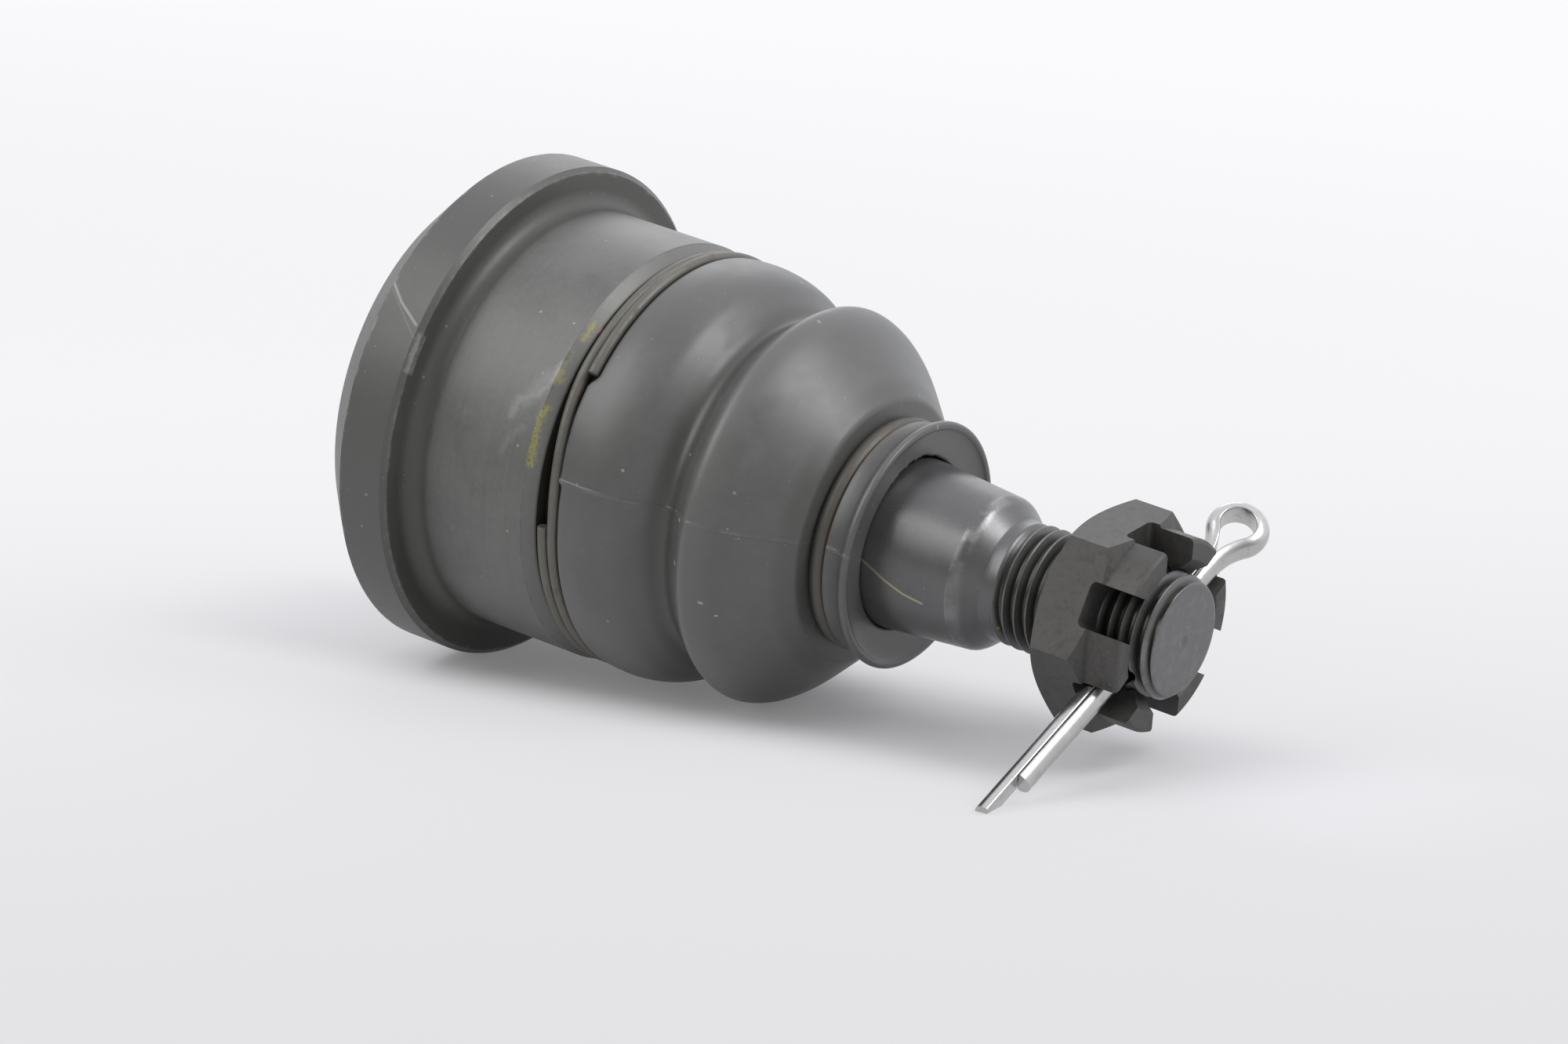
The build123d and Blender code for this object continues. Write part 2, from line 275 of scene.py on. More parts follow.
def housingFinish(name, base, rough, reach, facing, handled=False):
    f = Finish(name, reach, facing)
    cloud = f.cloud(0.11, 5.0, 0.62)
    grain = f.cloud(1.6, 6.0, 0.7)
    lathe = f.turned(3.2, 0.012, 4.0, 0.6)
    tone = wavering(0.5, (cloud, 1.0), (grain, 0.55), (lathe, 0.3))
    f.colour = f.mix(tone, shade(base, 0.68), shade(base, 1.34))
    dark = f.cloud(0.34, 3.0).rise(0.58, 0.76)
    f.tint(dark * 0.3, (base[0] * 0.62, base[1] * 0.62, base[2] * 0.56))
    pale = f.cloud(0.5, 5.0, 0.7, 0.3).rise(0.60, 0.78)
    f.tint(pale * 0.32, shade(base, 1.9))
    dust = f.specks(5.0, 0.19, 0.22, (3.1, 7.7))
    lint = f.specks(2.3, 0.10, 0.22, (9.1, 2.7))
    marks = (dust + lint * 0.5).atMost(1.0)
    if handled:
        housingMarks(f, base)
    f.tint(marks * 0.75, (0.42, 0.41, 0.36))
    height = grain * 0.6 + lathe * 0.5 + f.cloud(0.9, 3.0) * 0.7
    sheen = wavering(rough, (cloud, 0.22), (grain, 0.16)) + marks * 0.3
    return f.surface(0.25, sheen, f.bump(height, 0.55, 0.03))


def studFinish():
    f = Finish("stud phosphate", 9.0, 0.7)
    cloud = f.cloud(0.25, 4.0, 0.6)
    grain = f.cloud(3.2, 5.0, 0.6)
    grinding = f.turned(7.0, 0.004, 3.0, 0.55)
    base = (0.135, 0.135, 0.137)
    tone = wavering(0.5, (cloud, 0.5), (grain, 0.3), (grinding, 0.35))
    f.colour = f.mix(tone, shade(base, 0.7), shade(base, 1.3))
    # worn bright and painted highlights on the shoulder's edge, strongest on its lit side, and on
    # the thread's crests and the end chamfer
    rub = f.cloud(0.45, 3.0, 0.55).rise(0.36, 0.66)
    lit = f.clock.band(38.0, 24.0, 16.0) * 0.6 + 0.4
    shoulder = f.station.band(55.6, 0.3, 0.7) * (f.radius > 8.2) * lit
    shoulder = shoulder + f.station.band(54.9, 0.03, 0.1) * f.clock.band(85.0, 60.0, 10.0) * 0.5
    crest = f.radius.rise(6.86, 6.97) * f.station.rise(60, 61)
    chamfer = f.station.band(79.4, 0.1, 0.3) * (f.radius > 6.2)
    wearAndHighlight = (shoulder + crest * 0.3 + chamfer * 0.35).clamped() * rub
    f.tint(wearAndHighlight * 0.65, (0.36, 0.355, 0.35))
    # patches on the end face
    dulled = f.cloud(0.8, 5.0, 0.65).rise(0.45, 0.7) * (f.station > 79.95)
    f.tint(dulled * 0.5, (0.20, 0.20, 0.20))
    # painted shade, dark olive, between the crests
    threaded = f.station.rise(59.4, 60.2) * (1 - f.station.rise(79.6, 79.9))
    f.tint((1 - f.radius.rise(6.25, 6.75)) * threaded * 0.8, (0.040, 0.040, 0.028))
    # a pale fibre caught on the taper
    fibre = f.stroke([(44.0, 88.0), (45.6, 92.6), (47.4, 98.4), (49.6, 104.2), (52.0, 107.5)],
                     9.4, 0.07, 0.12)
    f.tint(fibre * 0.85, (0.40, 0.37, 0.23))
    # flecks of yellow paint low on the thread's first turns
    paint = f.specks(3.0, 0.4, 0.5, (1.7, 0.4)) * f.station.band(60.6, 0.5, 0.4)
    f.tint(paint * 0.8 * f.clock.band(120, 20, 5), (0.33, 0.33, 0.08))
    dust = f.specks(3.4, 0.08, 0.16, (5.5, 1.2))
    f.tint(dust * 0.7, (0.45, 0.44, 0.4))
    sheen = wavering(0.34, (cloud, 0.25), (grain, 0.2)) - wearAndHighlight * 0.08
    height = grain * 0.5 + grinding * 0.6
    return f.surface(0.7, sheen, f.bump(height, 0.45, 0.02))


def nutFinish():
    f = Finish("nut phosphate", 11.0, 0.7)
    cloud = f.cloud(0.3, 4.0, 0.6)
    grain = f.cloud(3.4, 6.0, 0.66)
    base = (0.077, 0.074, 0.071)
    tone = wavering(0.5, (cloud, 0.9), (grain, 0.8))
    f.colour = f.mix(tone, shade(base, 0.7), shade(base, 1.35))
    blotch = f.cloud(1.1, 5.0, 0.65).rise(0.48, 0.68)
    f.tint(blotch * 0.45, shade(base, 0.5))
    dust = f.specks(3.0, 0.08, 0.14, (2.2, 6.1))
    f.tint(dust * 0.6, (0.42, 0.41, 0.38))
    sheen = wavering(0.5, (cloud, 0.2), (grain, 0.2))
    return f.surface(0.5, sheen, f.bump(grain + cloud * 0.4, 0.6, 0.03))


def rubberFinish():
    f = Finish("boot rubber")
    cloud = f.cloud(0.11, 4.0, 0.55)
    mottle = f.cloud(0.7, 4.0, 0.6)
    skin = f.cloud(5.5, 4.0, 0.6)
    base = (0.080, 0.080, 0.078)
    tone = wavering(0.5, (cloud, 0.9), (mottle, 0.5), (skin, 0.25))
    f.colour = f.mix(tone, shade(base, 0.74), shade(base, 1.28))
    # a dark smudge on the front lobe
    smudge = f.stroke([(35.6, 33.0), (33.4, 40.0), (32.2, 47.0)], 21.0, 0.1, 1.3,
                      (mottle - 0.5) * 2.2)
    f.tint(smudge * 0.5, (0.045, 0.045, 0.041))
    # grey bloom where it has been handled
    bloom = f.cloud(0.24, 5.0, 0.68, 0.4).rise(0.55, 0.75)
    f.tint(bloom * 0.22, (0.14, 0.14, 0.14))
    # rust that has run from the small ring
    rust = f.station.band(41.64, 0.05, 0.16) * (f.radius > 12.6) * f.clock.band(70.0, 50.0, 12.0)
    f.tint(rust * 0.6, (0.15, 0.09, 0.055))
    # the parting line is paler, and dust is thicker along it
    off = abs(f.clock - 83.5) * f.radius * (math.pi / 180)
    seam = 1 - off.rise(0.3, 0.7)
    faint = f.cloud(0.35, 3.0).rise(0.38, 0.62)
    f.tint((1 - off.rise(0.05, 0.2)) * faint * 0.28, (0.17, 0.17, 0.16))
    dust = f.specks(6.5, 0.22, 0.22, (0.3, 4.1))
    fine = f.specks(2.5, 0.10, 0.20, (8.1, 0.9))
    line = f.specks(1.5, 0.12, 0.3, (4.0, 4.0)) * seam
    marks = (dust + fine * 0.5 + line * 0.8).clamped()
    for station, clock in ((27.7, 84.0), (28.0, 96.6), (31.65, 106.2), (30.5, 9.0)):
        marks = marks.atLeast(f.stroke([(station, clock), (station + 0.2, clock + 0.3)], 22.6,
                                       0.05, 0.2))
    f.tint(marks * 0.85, (0.46, 0.46, 0.40))
    # the front lobe's crest is greyer; painted shade lies in the valley between the lobes, at the
    # foot of the cone and in the large ring's groove
    f.tint(f.radius.rise(21.4, 22.8) * f.station.rise(24.5, 26.5) * 0.5, (0.112, 0.112, 0.108))
    valley = f.station.band(24.6, 0.6, 2.2) * (1 - f.radius.rise(20.3, 22.0))
    valley = valley.atLeast(f.station.band(38.6, 0.3, 1.2) * 0.5)
    f.tint(valley * 0.72, (0.030, 0.030, 0.025))
    groove = (1 - f.radius.rise(22.85, 23.15)) * (1 - f.station.rise(13.0, 14.0))
    f.tint(groove * 0.85, paintedShade)
    sheen = wavering(0.40, (cloud, 0.22), (mottle, 0.14)) + bloom * 0.08 + marks * 0.3
    height = skin * 0.4 + mottle * 0.5
    return f.surface(0.0, sheen, f.bump(height, 0.35, 0.03), specular=0.75)


def ringFinish():
    f = Finish("ring wire")
    cloud = f.cloud(0.35, 4.0, 0.6)
    drawn = f.turned(6.0, 0.01, 4.0, 0.6)
    base = (0.155, 0.148, 0.132)
    tone = wavering(0.5, (cloud, 0.9), (drawn, 0.5))
    f.colour = f.mix(tone, shade(base, 0.6), shade(base, 1.25))
    rust = f.cloud(0.5, 4.0, 0.65).rise(0.54, 0.68)
    # the small ring is duller than the large one, and rust shows beside it
    f.tint(f.station.rise(38.0, 39.0) * 0.7, (0.085, 0.083, 0.077))
    seam = f.station.band(41.5, 0.16, 0.35) + f.station.band(39.62, 0.1, 0.25) * 0.6
    f.tint((rust * 0.7 + 0.3) * seam * 0.65, (0.13, 0.075, 0.042))
    f.tint(rust * 0.15, (0.13, 0.085, 0.05))
    sheen = wavering(0.5, (cloud, 0.3)) + rust * 0.15
    return f.surface(0.55, sheen, f.bump(drawn, 0.5, 0.02))


def zincFinish():
    f = Finish("bright zinc")
    cloud = f.cloud(0.5, 4.0, 0.6)
    grain = f.cloud(4.5, 4.0, 0.6)
    f.colour = f.mix(wavering(0.5, (cloud, 0.8)), (0.42, 0.42, 0.41), (0.60, 0.60, 0.59))
    dull = f.cloud(1.1, 4.0, 0.6).rise(0.55, 0.7)
    f.tint(dull * 0.3, (0.30, 0.295, 0.28))
    sheen = wavering(0.25, (cloud, 0.14)) + dull * 0.1
    return f.surface(1.0, sheen, f.bump(grain * 0.4 + cloud, 0.16, 0.02))


def innerFinish(name, base, metallic, rough):
    f = Finish(name)
    cloud = f.cloud(0.4, 4.0, 0.6)
    lathe = f.turned(5.0, 0.01, 3.0, 0.55)
    tone = wavering(0.5, (cloud, 0.5), (lathe, 0.4))
    f.colour = f.mix(tone, shade(base, 0.85), shade(base, 1.12))
    sheen = wavering(rough, (cloud, 0.15))
    return f.surface(metallic, sheen, f.bump(lathe, 0.4, 0.02))


finishes = {
    "housing": housingFinish("housing phosphate", (0.128, 0.128, 0.123), 0.44, 23.0, 0.6,
                             handled=True),
    "cover": housingFinish("cover phosphate", (0.11, 0.11, 0.107), 0.45, 12.0, 1.0),
    "stud": studFinish(),
    "nut": nutFinish(),
    "rubber": rubberFinish(),
    "ring": ringFinish(),
    "zinc": zincFinish(),
    "spring": innerFinish("oiled spring steel", (0.30, 0.30, 0.31), 1.0, 0.32),
    "acetal": innerFinish("natural acetal", (0.80, 0.79, 0.74), 0.0, 0.4),
}
print("finishes made:", len(finishes))


# ---- CAD nodes that keep their shape ----

def dress(mesh, finish):
    mesh.materials.clear()
    mesh.materials.append(finishes[finish])


for node, finish in {"housing": "housing", "cover_plate": "cover", "disc_spring": "spring",
                     "pressure_cup": "acetal", "upper_race": "acetal"}.items():
    dress(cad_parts[node].data, finish)
print("CAD nodes dressed")


# ---- building helpers ----

def newObject(name, mesh):
    made = bpy.data.objects.new(name, mesh)
    bpy.context.scene.collection.objects.link(made)
    return made


weldGap, threadWeld = 0.003 * mm, 0.004 * mm


def meshOf(name, work, keep=None):
    # an edited bmesh as a mesh: a new one, or the one it came from
    mesh = keep or bpy.data.meshes.new(name)
    work.to_mesh(mesh)
    work.free()
    return mesh


def turnedMesh(name, outline, clocks, closed=False, wobble=lambda *place: place):
    # revolves an outline of (radius, station) about Y; a point on the axis becomes one vertex
    grid = bmesh.new()
    rows = []
    for radius, station in outline:
        if radius < 1e-6:
            rows.append([grid.verts.new((0, station * mm, 0))] * len(clocks))
        else:
            rows.append([grid.verts.new(clockPoint(*wobble(radius, station, clock)) * mm)
                         for clock in clocks])
    if closed:
        rows.append(rows[0])
    for low, high in zip(rows, rows[1:]):
        for i in range(len(clocks)):
            j = (i + 1) % len(clocks)
            corners = list(dict.fromkeys([low[i], low[j], high[j], high[i]]))
            if len(corners) > 2:
                grid.faces.new(corners)
    bmesh.ops.recalc_face_normals(grid, faces=grid.faces)
    return meshOf(name, grid)


def finished(piece, finish, sharp):
    # one finish, smooth but for edges of more than sharp degrees
    dress(piece.data, finish)
    piece.data.shade_smooth()
    piece.data.set_sharp_from_angle(angle=math.radians(sharp))


def applied(piece):
    # the modifiers' result as a plain mesh
    view = bpy.context.evaluated_depsgraph_get()
    view.update()
    mesh = bpy.data.meshes.new_from_object(piece.evaluated_get(view))
    piece.modifiers.clear()
    piece.data = mesh


def smoothOutline(outline, steps):
    # a Catmull-Rom line through the outline's points
    points = [Vector(p) for p in outline]
    line = []
    for i in range(len(points) - 1):
        before = points[i - 1] if i else 2 * points[0] - points[1]
        after = points[i + 2] if i + 2 < len(points) else 2 * points[-1] - points[-2]
        for k in range(steps):
            t = k / steps
            line.append(0.5 * ((2 * points[i]) + (points[i + 1] - before) * t
                               + (2 * before - 5 * points[i] + 4 * points[i + 1] - after) * t ** 2
                               + (3 * points[i] - before - 3 * points[i + 1] + after) * t ** 3))
    return [tuple(p) for p in line + [points[-1]]]


def geometryTree(name, values):
    # an empty tree with the values' names as inputs, a call for an input, and one that closes it
    tree = bpy.data.node_groups.new(name, "GeometryNodeTree")
    kinds = {label: "Int" if isinstance(v, int) else "Float" for label, v in values.items()}
    for label, kind in {"Geometry": "Geometry", **kinds, "Finish": "Material"}.items():
        tree.interface.new_socket(label, in_out="INPUT", socket_type="NodeSocket" + kind)
    tree.interface.new_socket("Geometry", in_out="OUTPUT", socket_type="NodeSocketGeometry")
    graph = Graph(tree)
    give = graph.node("NodeGroupInput").out

    def close(geometry):
        real = graph.node("GeometryNodeRealizeInstances", {0: geometry})
        dressed = graph.node("GeometryNodeSetMaterial",
                             {"Geometry": real, "Material": give("Finish")})
        graph.feed(tree.nodes.new("NodeGroupOutput").inputs[0], dressed)
        return tree
    return graph, give, close


def growWith(piece, tree, finish, values):
    modifier = piece.modifiers.new(tree.name, "NODES")
    modifier.node_group = tree
    given = {**values, "Finish": finishes[finish]}
    for item in tree.interface.items_tree:
        if item.in_out == "INPUT" and item.name in given:
            modifier[item.identifier] = given[item.name]
    applied(piece)


# ---- stud: turned forging with a rolled thread ----
stud = {
    "ballRadius": 14.0, "ballFlat": -12.4, "ballSteps": 48,
    "neckRadius": 8.5, "neckStart": 16.0, "neckEnd": 22.0,
    "taperFoot": 32.0, "taperBack": 36.0, "taperTop": 55.05, "taperRatio": 1 / 12, "taperSteps": 12,
    # the shoulder rolls over and falls to the thread's plain shank
    "shoulder": 55.4, "shoulderRadius": 8.8,
    "fall": [(8.8, 55.4), (8.64, 55.85), (8.18, 56.5), (7.65, 57.1), (7.25, 57.6), (6.95, 58.0),
             (6.86, 58.45)],
    # the thread ends at a chamfer, from the crest down to faceRadius
    "threadStart": 58.9, "end": 79.93, "datum": 58.9, "plainRadius": 6.85, "runOut": 1.8,
    "crest": 7.0, "root": 6.1, "pitch": 1.5, "chamfer": 0.8, "faceRadius": 6.35,
    "around": 144, "rowsPerTurn": 12, "threadClock": 301.0,
    # a flat end with a small centre mark
    "endFace": [(6.24, 79.98), (6.1, 80.0), (5.8, 80.0), (1.0, 80.0), (0.75, 80.0), (0.6, 79.94),
                (0.25, 79.86)],
    "pinStation": 75.87, "pinClock": 302.2, "pinHole": 2.1,
}


def threadValues(size, side):
    # side is 1 for an outer thread and -1 for an inner one
    # two more turns than the length holds, because the rows beyond either end are pressed onto it
    turns = (size["end"] - size["datum"]) / size["pitch"] + 2
    slope = (size["crest"] - size["faceRadius"]) / size["chamfer"]
    shared = ("pitch", "threadStart", "end", "datum", "plainRadius", "crest", "root",
              "faceRadius", "runOut", "threadClock")
    return {"around": size["around"] + 1, "rows": int(turns * size["rowsPerTurn"]) + 1,
            "rowsPerTurn": float(size["rowsPerTurn"]), "endSlope": slope, "side": float(side),
            **{key: size[key] for key in shared}}


def threadTree(values):
    graph, give, close = geometryTree("rolled thread", values)
    sheet = graph.node("GeometryNodeMeshGrid",
                       {"Size X": 1.0, "Size Y": 1.0, "Vertices X": give("around"),
                        "Vertices Y": give("rows")})
    across, along, _ = graph.split(graph.node("GeometryNodeInputPosition"))
    turn = across + 0.5
    row = ((along + 0.5) * (give("rows") - 1)).rounded()
    # the rows climb one pitch in each turn, so the crest's edges stay crisp
    height = give("datum") + give("pitch") * (row / give("rowsPerTurn") + turn - 1)
    station = height.atLeast(give("threadStart")).atMost(give("end"))
    # in half pitches from the root's middle: a flat root, the flank and a flat crest
    rootFlat, flankWidth = 0.2, 0.68
    phase = abs((row / give("rowsPerTurn")).fraction() - 0.5) * 2
    flank = ((phase - rootFlat) / flankWidth).clamped()
    cut = give("root") + (give("crest") - give("root")) * flank
    runOut = (station - give("threadStart")).rise(0.0, give("runOut"))
    radius = give("plainRadius") + (cut - give("plainRadius")) * runOut
    limit = give("faceRadius") + (give("end") - station) * give("endSlope")
    # an outer thread is cut down to its end chamfer, an inner one is cut back to it
    radius = (radius * give("side")).atMost(limit * give("side")) * give("side")
    radius = radius.atLeast(give("faceRadius") * (give("end") - station).band(0.0, 0.0, 0.3))
    angle = (turn + give("threadClock") / 360) * (2 * math.pi)
    ring = graph.join(angle.sine() * radius * mm, station * mm, angle.cosine() * radius * mm)
    placed = graph.node("GeometryNodeSetPosition", {"Geometry": sheet, "Position": ring})
    whole = graph.node("GeometryNodeJoinGeometry", {0: placed})
    graph.feed(whole.socket.node.inputs[0], give("Geometry"))
    return close(graph.node("GeometryNodeMergeByDistance",
                            {"Geometry": whole, "Distance": threadWeld}))


def studOutline(size):
    ball, neck = size["ballRadius"], size["neckRadius"]
    taper = size["shoulder"] - size["taperBack"]
    backRadius = size["shoulderRadius"] + taper * size["taperRatio"]
    first = math.acos(-size["ballFlat"] / ball)
    last = math.pi - math.asin(neck / ball)
    outline = [(0, size["ballFlat"])]
    outline += [(ball * math.sin(a), -ball * math.cos(a))
                for a in np.linspace(first, last, size["ballSteps"] + 1)]
    outline += [(neck, size["neckStart"]), (neck, size["neckEnd"]),
                (backRadius, size["taperFoot"]), (backRadius, size["taperBack"])]
    rises = np.linspace(0, size["taperTop"] - size["taperBack"], size["taperSteps"] + 1)[1:]
    outline += [(backRadius - up * size["taperRatio"], size["taperBack"] + up) for up in rises]
    return outline + smoothOutline(size["fall"], 5) + [(size["plainRadius"], size["threadStart"])]


def welded(piece, rings=()):
    # joins a turned piece's seams, and closes an open end with rings of (radius, station)
    grid = bmesh.new()
    grid.from_mesh(piece.data)
    bmesh.ops.remove_doubles(grid, verts=grid.verts, dist=weldGap)
    face = [e for e in grid.edges if e.is_boundary]
    for radius, station in rings:
        grown = bmesh.ops.extrude_edge_only(grid, edges=face)["geom"]
        face = [g for g in grown if isinstance(g, bmesh.types.BMEdge)]
        for vert in {v for e in face for v in e.verts}:
            flat = Vector((vert.co.x, 0, vert.co.z)).normalized() * radius * mm
            vert.co = Vector((flat.x, station * mm, flat.z))
    if rings:
        bmesh.ops.contextual_create(grid, geom=face)
    bmesh.ops.recalc_face_normals(grid, faces=grid.faces)
    meshOf(piece.name, grid, piece.data)


def threadClocks(size):
    return [size["threadClock"] + 360 * i / size["around"] for i in range(size["around"])]


def makeStud(size):
    piece = newObject("studForging",
                      turnedMesh("studForging", studOutline(size), threadClocks(size)))
    growWith(piece, rolledThread, "stud", threadValues(size, 1))
    welded(piece, size["endFace"])
    cutWith(piece, drillRod(size))
    return piece


def cutWith(piece, tool, operation="DIFFERENCE"):
    cut = piece.modifiers.new("cut", "BOOLEAN")
    cut.object, cut.operation, cut.solver = tool, operation, "EXACT"
    applied(piece)
    bpy.data.objects.remove(tool)


def drillRod(size):
    along = clockPoint(1, 0, size["pinClock"])
    rod = bmesh.new()
    bmesh.ops.create_cone(rod, cap_ends=True, segments=64, radius1=size["pinHole"] * mm,
                          radius2=size["pinHole"] * mm, depth=20 * mm)
    turn = along.to_track_quat("Z", "Y").to_matrix().to_4x4()
    rod.transform(Matrix.Translation((0, size["pinStation"] * mm, 0)) @ turn)
    return newObject("drill", meshOf("drill", rod))


rolledThread = threadTree(threadValues(stud, 1))
studPiece = makeStud(stud)
finished(studPiece, "stud", 26)
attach(studPiece, "stud")
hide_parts("ball_stud")
print("stud grown:", len(studPiece.data.polygons), "faces")


# ---- boot: one rubber moulding ----
boot = {
    # the rear edge in the spigot's groove, and the large ring's groove up to the shoulder
    "rear": [(20.85, 10.9), (21.3, 10.35), (21.5, 10.3), (21.75, 10.34), (21.9, 10.5),
             (22.1, 10.9), (22.45, 11.4), (22.75, 11.75), (22.85, 12.0), (22.85, 13.2),
             (22.9, 13.27), (23.0, 13.3), (23.6, 13.3)],
    # the outer skin's two lobes, up to the small ring's groove
    "skin": [(23.95, 13.38), (24.2, 13.75), (24.34, 15.0), (24.36, 16.8), (24.0, 19.0),
             (23.2, 21.0), (21.75, 22.6), (20.45, 23.9), (20.05, 24.9), (20.35, 26.0),
             (21.3, 27.3), (22.35, 28.4), (22.93, 29.4), (22.8, 30.5), (22.15, 31.9),
             (20.9, 33.6), (18.9, 35.7), (16.9, 37.7), (15.9, 38.7), (15.5, 39.1)],
    "smallGroove": [(15.2, 39.35), (14.8, 39.47), (11.6, 39.5), (11.45, 39.55), (11.4, 39.7),
                    (11.4, 41.45), (11.45, 41.57), (11.6, 41.6), (13.0, 41.6)],
    # a short collar flares out to the lip's rounded rim, which dishes in to the stud
    "lip": [(13.2, 41.63), (13.3, 41.75), (13.34, 42.4), (13.5, 43.2), (13.75, 43.95),
            (14.08, 44.35), (14.22, 44.72), (14.15, 45.12), (13.85, 45.28), (13.5, 45.2),
            (13.2, 44.95), (12.6, 44.74), (11.6, 44.56), (10.6, 44.44), (10.05, 44.36),
            (9.83, 44.2)],
    "bore": [(9.83, 43.6), (9.91, 42.6), (9.99, 41.6), (10.16, 39.6)],
    "lining": [(10.32, 38.1), (10.9, 38.35), (13.4, 37.9), (15.2, 36.6), (17.6, 34.6), (19.6, 32.5),
               (20.9, 30.6), (21.15, 29.5), (20.4, 28.4), (19.2, 27.2), (18.4, 25.9), (18.3, 24.7),
               (19.1, 23.0), (20.5, 21.2), (21.7, 19.4), (22.2, 18.1), (22.3, 17.2)],
    "heel": [(21.9, 16.3), (21.65, 15.9), (21.55, 15.5), (20.85, 14.8)],
    # a ridge along each parting line, with closer clocks across it
    "partings": [83.5, 263.5], "partingHeight": 0.085, "partingWidth": 0.32,
    "steps": 300, "fineStep": 0.12, "fineHalf": 1.1, "fineGap": 0.3,
    # the lobes are a little uneven, fading out over lumpFade at either end
    "lump": 0.10, "lumpFrom": 14.8, "lumpTo": 39.2, "lumpFade": 3.0, "sway": 0.07, "lipLump": 0.05,
    "outside": (12.9, 13.35, 45.1),
    # how far the rear edge creeps back over the wire, by clock, where the skin is this far out
    "creep": [(54.5, 0.0), (57.0, 0.85), (66.0, 0.85), (76.0, 0.6), (82.2, 0.42), (83.2, 0.62),
              (84.0, 0.5), (84.8, 0.1), (98.0, 0.0)],
    "creepRadius": 22.8, "creepFrom": 13.1, "creepTo": 16.5, "creepFade": 3.0,
    # the tear in the lip's hole fades out from the bore over tearDepth
    "tearClock": 10, "tearFrom": 43.0, "tearTo": 44.75, "tearRadius": 11.8, "tearBore": 9.8,
    "tearDepth": 1.6, "tearSize": 0.3, "tearRagged": 0.35,
}


def softNoise(clock, station, seed):
    # a slow, repeatable unevenness from -1 to 1 that closes after a full turn
    a = math.radians(clock)
    return (math.sin(2 * a + seed) * math.sin(station * 0.21 + seed * 1.7)
            + 0.6 * math.sin(3 * a - seed * 2.1 + station * 0.13)
            + 0.4 * math.sin(5 * a + seed * 0.6 + station * 0.37)) / 2


def bootClocks(size):
    clocks = np.arange(0, 360, 360 / size["steps"])
    for middle in size["partings"]:
        low, high = middle - size["fineHalf"], middle + size["fineHalf"]
        clocks = [c for c in clocks if not low - size["fineGap"] < c < high + size["fineGap"]]
        clocks += list(np.arange(low, high + 1e-6, size["fineStep"]))
    return sorted(float(c) for c in clocks)


def bootOutline(size):
    return (size["rear"] + smoothOutline(size["skin"], 5) + size["smallGroove"]
            + smoothOutline(size["lip"], 4) + size["bore"] + smoothOutline(size["lining"], 5)
            + size["heel"])


def unit(value):
    return min(1.0, max(0.0, value))


def bootShape(size):
    outRadius, outFrom, outTo = size["outside"]

    def shape(radius, station, clock):
        outside = 1 if radius > outRadius and outFrom < station < outTo else 0
        skin = (unit((station - size["lumpFrom"]) / size["lumpFade"])
                * unit((size["lumpTo"] - station) / size["lumpFade"]))
        grown = radius + size["lump"] * softNoise(clock, station, 1.3) * skin
        grown += size["lipLump"] * softNoise(clock, station, 4.1) * (1 - skin) * outside
        for middle in size["partings"]:
            off = abs((clock - middle + 180) % 360 - 180) * math.radians(1) * radius
            ridge = max(0.0, 1 - (off / size["partingWidth"]) ** 2)
            grown += size["partingHeight"] * ridge * outside
        # the rear edge closes on the wire where it lies alone, and ends in a nub of flash
        if radius > size["creepRadius"] and size["creepFrom"] < station < size["creepTo"]:
            creep = float(np.interp(clock, *zip(*size["creep"])))
            station -= creep * unit((size["creepTo"] - station) / size["creepFade"])
        # the lip's hole is torn and stands a little off the stud at the top
        if size["tearFrom"] < station < size["tearTo"] and radius < size["tearRadius"]:
            tear = max(0.0, math.cos(math.radians(clock - size["tearClock"]))) ** 8
            ragged = 0.5 + 0.5 * math.sin(clock * 0.9) * math.sin(clock * 0.37 + 1.0)
            near = max(0.0, 1 - (radius - size["tearBore"]) / size["tearDepth"])
            grown += tear * near * (size["tearSize"] + size["tearRagged"] * ragged)
        return grown, station + size["sway"] * softNoise(clock, station, 2.6) * skin, clock
    return shape


bootPiece = newObject("dustBoot", turnedMesh("dustBoot", bootOutline(boot), bootClocks(boot),
                                             closed=True, wobble=bootShape(boot)))
finished(bootPiece, "rubber", 50)
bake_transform(bootPiece)
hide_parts("boot")
print("boot made:", len(bootPiece.data.polygons), "faces")


# ---- the two spring rings: wire wound on a path ----
largeRing = {
    "Coil radius": 23.54, "Wire radius": 0.67, "Turns": 1.878, "First clock": 98.0, "Low": 11.14,
    "Step": 1.36, "Step from": 0.87, "Step to": 1.0, "Lift": 0.42, "Lift from": 1.45,
    "Lift to": 1.8, "Points": 520, "Sides": 20,
}
smallRing = {
    "Coil radius": 12.45, "Wire radius": 1.0, "Turns": 0.985, "First clock": 272.0, "Low": 40.55,
    "Step": 0.0, "Step from": 0.5, "Step to": 0.6, "Lift": 0.0, "Lift from": 1.0, "Lift to": 2.0,
    "Points": 260, "Sides": 24,
}
cutEnd = 0.12


